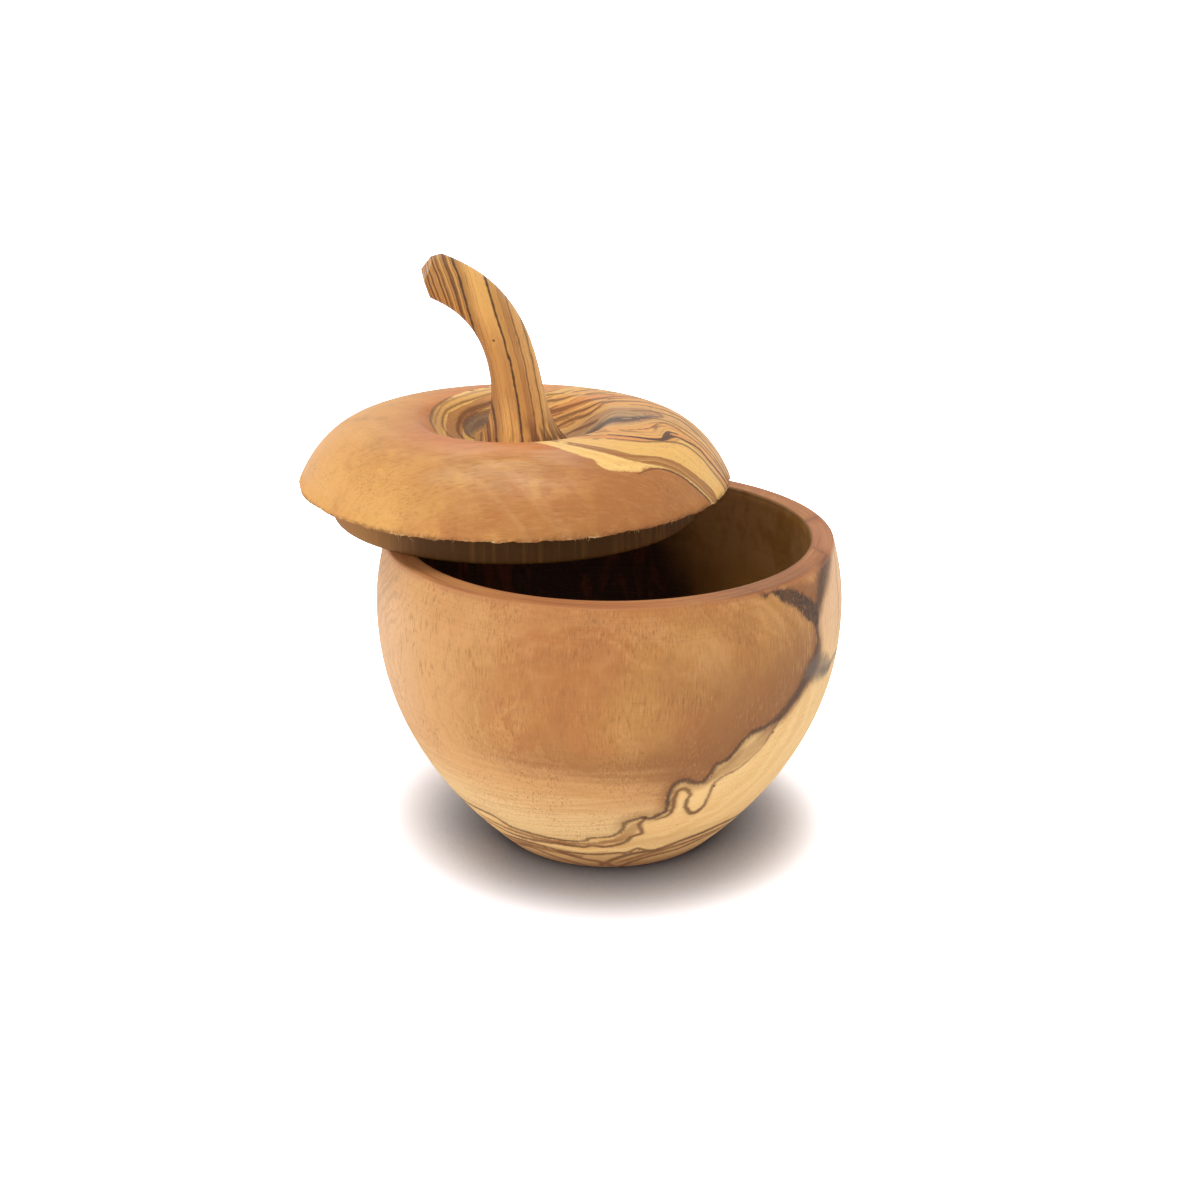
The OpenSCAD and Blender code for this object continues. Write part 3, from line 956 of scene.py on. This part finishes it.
def bowl_wood():
    wood = Wood("bowl_wood", spacing=0.65)
    x, y, z = wood.x, wood.y, wood.z
    heart = wood.number("heart")
    edge_half = wood.number("edge_half")
    inside = wood.number("inside")
    land = wood.number("land")
    fibre = wood.mottle(1.6, 0.16, detail=3)
    comb = wood.mottle(2.6, 0.35) - 0.5
    crumb = wood.mottle(0.75, 0.75, detail=4, roughness=0.65) - 0.5
    jag = comb * 1.6 + crumb * 1.8
    wander = (wood.mottle(0.13, 0.13, detail=3) - 0.5) * 3.0

    # Depth into the growth sheets, which are cut into closed rings at the front
    across = x - BOWL_PITH[0]
    behind = y - BOWL_PITH[1]
    ring = (across * across + behind * behind).root() - z * BOWL_LEAN + wander * 1.1
    sheet = BOWL_FRONT_RING - ring
    broad = wood.noise_along(sheet * 0.42 + 3.1)
    narrow = wood.noise_along(sheet * 1.7, detail=3)
    patch = wood.mottle(0.05, 0.035, detail=3)
    cloud = wood.noise(x * 0.16 + 9, y * 0.16, z * 0.09, detail=4, roughness=0.6)
    soft_rings = x.rise(8, -16) * z.rise(56, 40)
    streak = (wood.mottle(0.045, 0.8, detail=3) - 0.5) * 12
    dusk = (heart + wander * 1.5).rise(19, 0.5) * x.rise(-8, 14) * z.rise(14, 22)
    low = (z + wander + streak * 0.3).rise(42, 30) * (z + wander * 0.6 + streak * 0.6).rise(28, 35)
    feather = heart.rise(9, 1) * z.rise(47, 52) * x.rise(20, 30)
    sag = (z + wander * 0.7 + x * 0.10 + streak * 0.7).rise(36, 25)
    pale = (z + wander * 0.5 + x * 0.08 + streak * 0.7).rise(28, 15)
    low_lines = wood.noise(x * 0.03, y * 0.03, z * 1.5 - x * 0.25, detail=3)
    left_streaks = wood.noise_along(sheet * 1.1 + z * 0.25, detail=3)
    grey = left_streaks.rise(0.46, 0.62) * x.rise(-38, -46) * z.rise(46, 58)
    heartwood = wood.coats(
        wood.blend(patch.rise(0.38, 0.66), HEART_RED, HEART),
        (broad.rise(0.48, 0.66) * 0.28, HEART_LIGHT),
        (broad.rise(0.48, 0.34) * 0.14, HEART_DEEP),
        (cloud.rise(0.5, 0.7) * 0.22, HEART_LIGHT),
        (cloud.rise(0.5, 0.32) * 0.22, HEART_DEEP),
        (x.rise(-14, -46) * 0.85, HEART_LIGHT),
        (x.rise(-34, -48) * 0.62, SAP_ROSE),
        (narrow.rise(0.5, 0.68) * (0.05 + soft_rings * 0.20), SAP_DEEP),
        (narrow.rise(0.46, 0.32) * (0.04 + soft_rings * 0.10), VEIN),
        (dusk * z.rise(66, 48) * 0.85, HEART_DEEP),
        (low * x.rise(-36, -6) * 0.78, HEART_DEEP),
        (x.rise(6, 24) * z.rise(62, 48) * z.rise(24, 32) * 0.42, HEART_DEEP),
        (z.rise(57, 66) * x.rise(-16, -36) * 0.45, HEART),
        (feather * comb.rise(-0.05, 0.2) * 0.6, SAP_DEEP),
        (sag * x.rise(26, 4) * 0.82, HEART_LIGHT),
        (pale * x.rise(22, 8) * 0.90, SAP_GREEN),
        (low_lines.rise(0.48, 0.64) * z.rise(36, 26) * x.rise(24, -6) * 0.36, TAN),
        (grey * 0.26, GREY_TAN),
    )

    # Growth lines of the pale wood follow the edge of the heartwood
    beside = wood.noise_along(heart * 0.9 + wander * 0.3, detail=3)
    level = z + wander * 1.3 + jag * 0.2
    front = y.rise(-8, -18)
    figure = level.rise(13.8, 11.4)
    tone, gap = wood.bands(level * 0.52)
    sapwood = wood.coats(
        wood.blend(broad.rise(0.4, 0.65) * 0.45, SAP, SAP_DEEP),
        ((z + wander * 2.5 + streak * 0.4).rise(36, 60) * 0.85, SAP_ROSE),
        (beside.rise(0.5, 0.75) * z.rise(30, 46) * 0.5, TAN),
        (beside.rise(0.5, 0.75) * 0.18, SAP_DEEP),
        (figure * tone.rise(0.3, 0.8) * (0.75 - front * 0.50), VEIN),
        (figure * gap.rise(0.30, 0.12) * (0.9 - front * 0.9), UMBER),
    )

    shade = (heart + jag).rise(-3.6, -0.6) * heart.rise(0.4, -0.4) * z.rise(37, 41) * z.rise(52, 46)
    fills = wood.stroke("brown_fills", jag * 0.6, 0.7)
    halo = (edge_half + 1.4 - heart.size()).rise(-1.2, 1.2) * z.rise(10, 24)
    edge_line = ((edge_half - (heart + jag * 0.6).size()) / (edge_half * 0.7 + 0.1)).rise(-1.0, 0.9)
    ink = wood.blend(z.rise(10, 24), UMBER, INK)
    colour = wood.coats(
        wood.blend((heart + jag * 0.4).rise(-0.25, 0.25), sapwood, heartwood),
        (shade * 0.75, VEIN),
        (wood.stroke("rim_shade", jag * 0.5, 1.2) * 0.85, VEIN),
        (fills * (0.35 + z.rise(16, 9) * 0.35 + cloud * 0.4), VEIN),
        (wood.stroke("brown_lines", crumb * 1.2, 0.8) * 0.65, VEIN),
        (wood.stroke("brown_lines", crumb * 1.2, 0.3) * (0.35 + cloud * 0.6), UMBER),
        (wood.stroke("side_lines", crumb * 1.2, 0.3) * 0.35, VEIN),
        (wood.stroke("grey_marks", jag * 0.8, 1.0) * 0.7, SLATE),
        (halo * 0.5, VEIN),
    )
    dark_marks = wood.stroke("dark_marks", jag * 1.0, 0.6)
    colour = wood.coats(
        wood.blend(edge_line * (0.56 + cloud * 0.5), colour, ink),
        (wood.stroke("blotch", jag * 1.4, 1.2) * (0.42 + cloud * 0.5), SLATE),
        (dark_marks * (0.76 + cloud * 0.4), INK),
    )
    for angle, height in BOWL_KNOTS:
        colour = wood.blend(wood.spot(on_bowl_surface(angle, height), 0.45) * 0.85, colour, UMBER)

    within = heart.rise(-0.2, 0.2)
    colour = fibre_flecks(wood, colour, within * 0.20, within * 0.26 + 0.14)
    turning = wood.noise_along(z * 2.6 + wander * 0.1)
    radius = (x * x + y * y).root()
    rim_streaks = wood.noise(x * 0.05, y * 0.05, radius * 1.6, detail=3)
    below_rim = z.rise(66.1, 66.9) * (1 - inside)
    colour = wood.coats(
        colour,
        (turning.rise(0.52, 0.8) * 0.14, HEART_DEEP),
        # Painted shade: the wood darkens towards the foot, where the pot meets the table
        (z.rise(7, 0) * 0.75, VEIN),
        (land * (0.85 - within * 0.6), RIM_RED),
        (land * rim_streaks.rise(0.3, 0.6) * 0.70, RIM_RED),
        (land * rim_streaks.rise(0.5, 0.66) * 0.28, RIM_DEEP),
        (land * x.rise(8, 30) * y.rise(-16, -28) * 0.45, RIM_DEEP),
        (below_rim * (1 - land) * rim_streaks.rise(0.35, 0.55) * 0.5, RIM_RED),
    )

    # The hollow: plain olive-brown wood to the right, where light reaches it, and painted shade deep down
    # and to the left, drawn as dark flamed heartwood
    flame = wood.mottle(0.2, 0.06, detail=4, distortion=0.8)
    hollow = wood.blend(flame.rise(0.44, 0.70), HOLLOW_SHADE_DARK, HOLLOW_SHADE_RED)
    # right: where light reaches the inside wall; there the painted shade gives way to plain wood
    right = (x + wander * 2 + (z - 50) * 0.5).rise(8, 30)
    hollow = wood.coats(
        wood.blend(right, hollow, OLIVE),
        (turning.rise(0.45, 0.7) * (0.08 + right * 0.17), HEART_DEEP),
        # Painted highlight: lighter patches high on the lit right wall of the hollow
        (right * cloud.rise(0.38, 0.60) * z.rise(40, 60) * 0.55, HEART_LIGHT),
        # Painted shade: a dark band just inside the rim, over the light that its rounded edge catches
        (z.rise(66.3, 67.3) * 0.6, HOLLOW_SHADE_DARK),
    )
    colour = wood.blend(inside, colour, hollow)
    fine = wood.mottle(3.4, 0.5)
    height = fine * 0.5 + turning * 0.3 + fibre * 0.3
    roughness = 0.46 + fibre * 0.16 + inside * 0.15
    return wood.finish(colour, roughness, height, 0.05)


def lid_wood():
    wood = Wood("lid_wood", spacing=0.42)
    x, y, z = wood.x, wood.y, wood.z
    grow = wood.number("grow")
    heart = wood.number("heart")
    below = wood.number("below")
    torn = wood.number("torn")
    wander = wood.mottle(0.12, 0.12) - 0.5
    jag = wood.mottle(0.9, 0.9, detail=4, roughness=0.6) - 0.5
    g = grow + wander * 1.0 + jag * 0.35

    patch = wood.noise(x * 0.05 + 7, y * 0.05, z * 0.05)
    cloud = wood.mottle(0.14, 0.06, detail=4, roughness=0.6)
    slow = wood.noise_along(grow * 0.22 + wander * 0.6)
    radius = (x * x + y * y).root()
    crown = radius.rise(36, 26) * radius.rise(15, 19)
    # Place and noise of a painted sheen on the lid's front
    painted_sheen_haze = wood.noise(x * 0.06 + 3, y * 0.22, z * 0.06, detail=3, roughness=0.6)
    painted_sheen_place = (x * x * 0.5 + (y + 31) * (y + 31)).rise(220, 10)
    brushed = wood.noise(x * 0.14 + y * 0.06, y * 1.3 - x * 0.3, z * 0.9, detail=4, roughness=0.6)
    smooth = wood.coats(
        wood.blend(patch.rise(0.38, 0.62), HEART_RED, HEART),
        ((x + wander * 24).rise(-4, -34) * 0.6, GOLD),
        (cloud.rise(0.5, 0.7) * 0.34, GOLD),
        (cloud.rise(0.48, 0.3) * 0.28, HEART_DEEP),
        (slow.rise(0.5, 0.72) * 0.25, HEART_LIGHT),
        (crown * x.rise(-34, -10) * 0.72, ROSE),
        (x.rise(3, 20) * 0.55, RUSSET),
        # Painted sheen: a soft pale pink haze on the lid's front stands in for its highlight
        (painted_sheen_place * painted_sheen_haze.rise(0.36, 0.62) * 0.32, SAP_ROSE),
        (brushed.rise(0.50, 0.68) * 0.15, HEART_LIGHT),
        (brushed.rise(0.48, 0.34) * 0.15, HEART_DEEP),
    )

    # Bands between growth lines: plain near the front edge, and bold behind and on the left
    behind = y.rise(-4, 4)
    tone, gap = wood.bands(g * 0.50 + 0.1)
    second_tone, second_gap = wood.bands(g * 1.25 + wander)
    busy = wood.blend(tone.rise(0.3, 0.9), HONEY, ORANGE)
    plain = wood.coats(
        wood.blend(g.rise(5.6, 7), CREAM, HONEY),
        (second_tone.rise(0.4, 0.8) * 0.35, GOLD),
        (second_gap.rise(0.3, 0.05) * g.rise(5.6, 7) * 0.22, TAN),
    )
    arcs = x.rise(-4, -9)
    strength = behind.top(g.rise(11.4, 13.4)) * g.rise(0.3, 1.2)
    busy = wood.coats(
        busy,
        (second_tone.rise(0.5, 0.9) * 0.35, TAN),
        (arcs * tone.rise(0.35, 0.6) * 0.75, OLIVE_TAN),
    )
    breaks = wood.mottle(0.2, 0.2, detail=3).rise(0.40, 0.56)
    band_shift = jag * 0.5
    streaky = second_tone.rise(0.3, 0.8)
    figured = wood.coats(
        wood.blend(strength, plain, busy),
        (gap.rise(0.15, 0.06) * strength * breaks * (0.55 - arcs * 0.4), UMBER),
        (second_gap.rise(0.22, 0.08) * strength * (0.30 - arcs * 0.15), VEIN),
        (g.rise(17, 22) * y.rise(-16, -6) * 0.62, GREY_TAN),
        (wood.stroke("brown_band", band_shift, 0.3) * (0.70 + streaky * 0.3), BROWN),
        (wood.stroke_sides("brown_band", band_shift, 0.35) * 0.60, VEIN),
    )

    side_line = (heart + jag * 0.9 - 0.15).size().rise(0.3, 0.1) * x.rise(8, 14)
    shift = jag * 0.35
    colour = wood.coats(
        wood.blend((heart + jag * 0.9).rise(-0.1, 0.1), smooth, figured),
        (side_line * 0.2, VEIN),
        (wood.stroke("brown_lines", shift, 0.55) * 0.50, VEIN),
        (wood.stroke("brown_lines", shift, 0.22) * (0.35 + cloud * 0.5), UMBER),
        (wood.stroke("blobs", jag * 1.8, 0.9) * (0.5 + cloud * 0.6), SLATE),
        (wood.stroke("blobs", jag * 3.0 + 0.9, 0.5) * (0.6 - arcs * 0.3), INK),
        (wood.stroke("dark_lines", shift, 0.2) * 0.92, INK),
    )
    colour = fibre_flecks(wood, colour, 0.12, 0.26, LEVEL)
    turning = wood.noise_along(radius * 2.2 + z * 1.4)
    streaks = wood.mottle(0.8, 0.05, detail=3)
    # The lip and underside: olive-brown painted dark as shade under the lid's overhang, with less of that
    # painted shade towards the left
    side = wood.blend(streaks.rise(0.45, 0.8) * 0.18, LIP_SHADED_OLIVE, HEART)
    colour = wood.blend(turning.rise(0.55, 0.8) * 0.09, colour, HEART_DEEP)
    side = wood.blend(x.rise(-16, -34) * 0.5, side, HEART)
    fuzz = wood.mottle(1.5, 0.8, detail=3)
    clumps = wood.mottle(0.12, 0.1, detail=3, roughness=0.7)
    ragged = z + (wood.mottle(0.45, 0.2, detail=5, roughness=0.7) - 0.5) * 1.5
    fine = wood.mottle(3.4, 1.2)
    height = fine * 0.5 + turning * 0.4 + streaks * below * 0.6 + torn * fuzz * 2
    roughness = 0.40 + patch * 0.16 + below * 0.2 + torn * 0.2
    colour = wood.coats(
        wood.blend(below, colour, side),
        # A dark fuzzy band along the torn edge: partly torn fibres, partly painted shade of the edge
        (ragged.rise(1.0, 0.2) * torn * fuzz.rise(0.30, 0.55) * 0.55, VEIN),
        (ragged.rise(0.35, 0.05) * torn * clumps.rise(0.52, 0.62) * 0.6, FIBRE),
        (ragged.rise(0.45, 0.0) * torn * clumps.rise(0.54, 0.44) * 0.55, UMBER),
    )
    return wood.finish(colour, roughness, height, 0.05)


# Dark lines of the stem: place across its grain, half width, strength
STEM_LINES = [
    (1.3, 0.18, 0.92), (-4.3, 0.2, 0.9), (4.4, 0.10, 0.6),
    (6.3, 0.14, 0.7), (-6.0, 0.14, 0.7), (-7.6, 0.1, 0.6),
]
STEM_KNOT = (-4.0, -4.7, 31.0)
STEM_INK = (58, 30, 12)


def stem_wood():
    wood = Wood("stem_wood")
    x, y, z = wood.x, wood.y, wood.z
    up = z - 10
    wander = wood.mottle(0.1, 0.05) - 0.5
    sway = wood.noise_along(z * 0.11 + 0.7) - 0.5
    jag = wood.mottle(1.2, 0.5, detail=3) - 0.5
    grain = x + up * 0.105 + up * up * 0.0033 + wander * 0.9 + sway * 0.9 + y * 0.1
    tone, gap = wood.bands(grain * 0.60 + 0.3)
    fine_tone = wood.noise_along(grain * 2.0 + jag * 0.5, detail=3)
    cloud = wood.mottle(0.25, 0.12, detail=3)
    right = (grain - 1.2).rise(0, 0.4) * (grain - 4.3).rise(0.3, -0.8)
    far_right = (grain - 4.3).rise(0, 0.5)
    middle = (grain + 1.5).rise(-0.2, 0.3) * (grain - 1.1).rise(0.1, -0.3) * z.rise(24, 36)
    lower_left = (grain - 1.0).rise(0.1, -0.5) * z.rise(38, 28) * z.rise(12, 20)
    left = (grain + 4.2).rise(-0.2, 0.1) * (grain + 1.6).rise(0.2, -2.4)
    end = (grain + jag).rise(-4.0, -5.2)
    end_lines = wood.noise_along(grain * 2.2)
    pulse = wood.noise_along(z * 0.5, detail=3)
    colour = wood.coats(
        wood.blend(tone.rise(0.3, 0.9), GOLD, TAN),
        (cloud.rise(0.5, 0.7) * 0.4, SAP_DEEP),
        (fine_tone.rise(0.50, 0.72) * 0.38, VEIN),
        (gap.rise(0.12, 0.03) * cloud.rise(0.4, 0.6) * 0.45, UMBER),
        (right * 0.5, BROWN),
        (far_right * 0.45, GOLD),
        (middle * 0.75, GOLD),
        (lower_left * 0.42, BROWN),
        (left * 0.65, VEIN),
        (end * 0.35, BROWN),
        (end * end_lines.rise(0.42, 0.54) * 0.7, VEIN),
        (end * end_lines.rise(0.56, 0.64) * 0.8, UMBER),
    )
    for place, half, share in STEM_LINES:
        width = half * (0.5 + pulse)
        stripe = ((grain - place + jag * 0.35).size() - width).rise(0.22, -0.08)
        colour = wood.blend(stripe * share, colour, STEM_INK)
    foot = (z - SEAT_H).rise(10, 1)
    out = x - FOOT_SHIFT
    spread = (out * out + y * y + 1).root()
    foot_streaks = wood.noise(out / spread * 4.5, y / spread * 4.5, z * 0.12, detail=3)
    base = (z - SEAT_H).rise(3.0, 1.0) * y.rise(0, -3)
    colour = wood.coats(
        colour,
        (foot * x.rise(0.5, 3) * foot_streaks.rise(0.38, 0.50) * 0.95, UMBER),
        (foot * foot_streaks.rise(0.5, 0.62) * 0.5, VEIN),
        (base * foot_streaks.rise(0.5, 0.38) * 0.7, SAP),
        (wood.spot(STEM_KNOT, 0.4) * 0.9, UMBER),
    )
    colour = fibre_flecks(wood, colour, 0.12, 0.2)
    fine = wood.mottle(3.0, 0.7)
    return wood.finish(colour, 0.42 + fine * 0.15, fine + fine_tone * 0.5, 0.06)


def fibre_wood():
    wood = Wood("torn_fibre")
    tone = wood.mottle(0.8, 0.8)
    colour = wood.blend(tone.rise(0.35, 0.65), FIBRE, HEART_LIGHT)
    return wood.finish(colour, 0.6 + tone * 0.1, tone, 0.02)


def floor_white():
    """White table: it keeps the pot's shadow from the lamps, with painted shade near the pot from ambient
    occlusion, and the camera sees the rest of it as white.
    """
    wood = Wood("floor_white")
    seen = wood.seen()
    # Painted shade: ambient occlusion darkens the table near the pot, on top of the lamps' shadow
    painted_contact_shade = wood.node("AmbientOcclusion", {"Distance": FLOOR_SHADE_REACH * MM})
    white = wood.math("POWER", painted_contact_shade.outputs["AO"], FLOOR_SHADE_DEPTH) * FLOOR_SEEN_WHITE
    shades = [seen * white * part + (1 - seen) * FLOOR_WHITE for part in FLOOR_SEEN_TINT]
    table = wood.node("BsdfDiffuse", {"Color": wood.point(*shades)})
    wood.node("OutputMaterial", {"Surface": table.outputs[0]})
    return wood.material


# Scene


def add_floor():
    half = FLOOR_WIDTH / 2
    corners = [(-half, -half, 0), (half, -half, 0), (half, half, 0), (-half, half, 0)]
    floor = make_piece("floor", corners, [[0, 1, 2, 3]])
    floor.data.materials.append(floor_white())


def add_sun(name, level, come_from, spread):
    lamp = bpy.data.lights.new(name, "SUN")
    lamp.energy = level
    lamp.angle = math.radians(spread)
    sun = bpy.data.objects.new(name, lamp)
    sun.rotation_euler = Vector(come_from).to_track_quat("Z", "Y").to_euler()
    bpy.context.scene.collection.objects.link(sun)


def add_room():
    """A white room, brightest at eye level, in which what the camera and glass see behind the pot is white.
    """
    world = bpy.data.worlds.new("room")
    world.use_nodes = True
    room = Nodes(world.node_tree)
    direction = room.node("TexCoord").outputs["Generated"]
    high = room.node("SeparateXYZ", {"Vector": direction}).outputs["Z"]
    shade = {"Value": high, "From Max": 0.9, "To Min": ROOM_SIDE_LEVEL, "To Max": ROOM_TOP_LEVEL}
    light = room.node("MapRange", shade, interpolation_type="SMOOTHSTEP").outputs[0]
    level = room.node("MapRange", {"Value": room.seen(), "To Min": light, "To Max": 1.0})
    background = room.tree.nodes["Background"]
    room.put(background.inputs["Strength"], level.outputs[0])
    room.put(background.inputs["Color"], (1, 1, 1, 1))
    bpy.context.scene.world = world


def add_camera():
    data = bpy.data.cameras.new("camera")
    data.lens = CAMERA_LENS
    data.sensor_width = CAMERA_SENSOR
    data.clip_start = 10 * MM
    data.clip_end = 2 * FLOOR_WIDTH * MM
    camera = bpy.data.objects.new("camera", data)
    turn = Matrix.Rotation(math.radians(CAMERA_YAW), 4, "Z")
    tilt = Matrix.Rotation(math.radians(90 - CAMERA_PITCH), 4, "X")
    roll = Matrix.Rotation(math.radians(CAMERA_ROLL), 4, "Z")
    camera.matrix_world = Matrix.Translation(Vector(CAMERA_PLACE) * MM) @ turn @ tilt @ roll
    bpy.context.scene.collection.objects.link(camera)
    bpy.context.scene.camera = camera


def dress(piece, material, body, node=None):
    piece.data.materials.append(material)
    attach(piece, body)
    if node:
        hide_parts(node)


add_camera()
add_room()
add_sun("key", KEY_LEVEL, KEY_FROM, KEY_SPREAD)
add_sun("side", SIDE_LEVEL, SIDE_FROM, SIDE_SPREAD)
add_floor()
dress(make_bowl(), bowl_wood(), "bowl", "bowl")
dress(make_lid(), lid_wood(), "lid", "lid")
dress(make_fibres(), fibre_wood(), "lid")
dress(make_stem(), stem_wood(), "lid", "stem")

bpy.context.scene.view_settings.view_transform = "Standard"
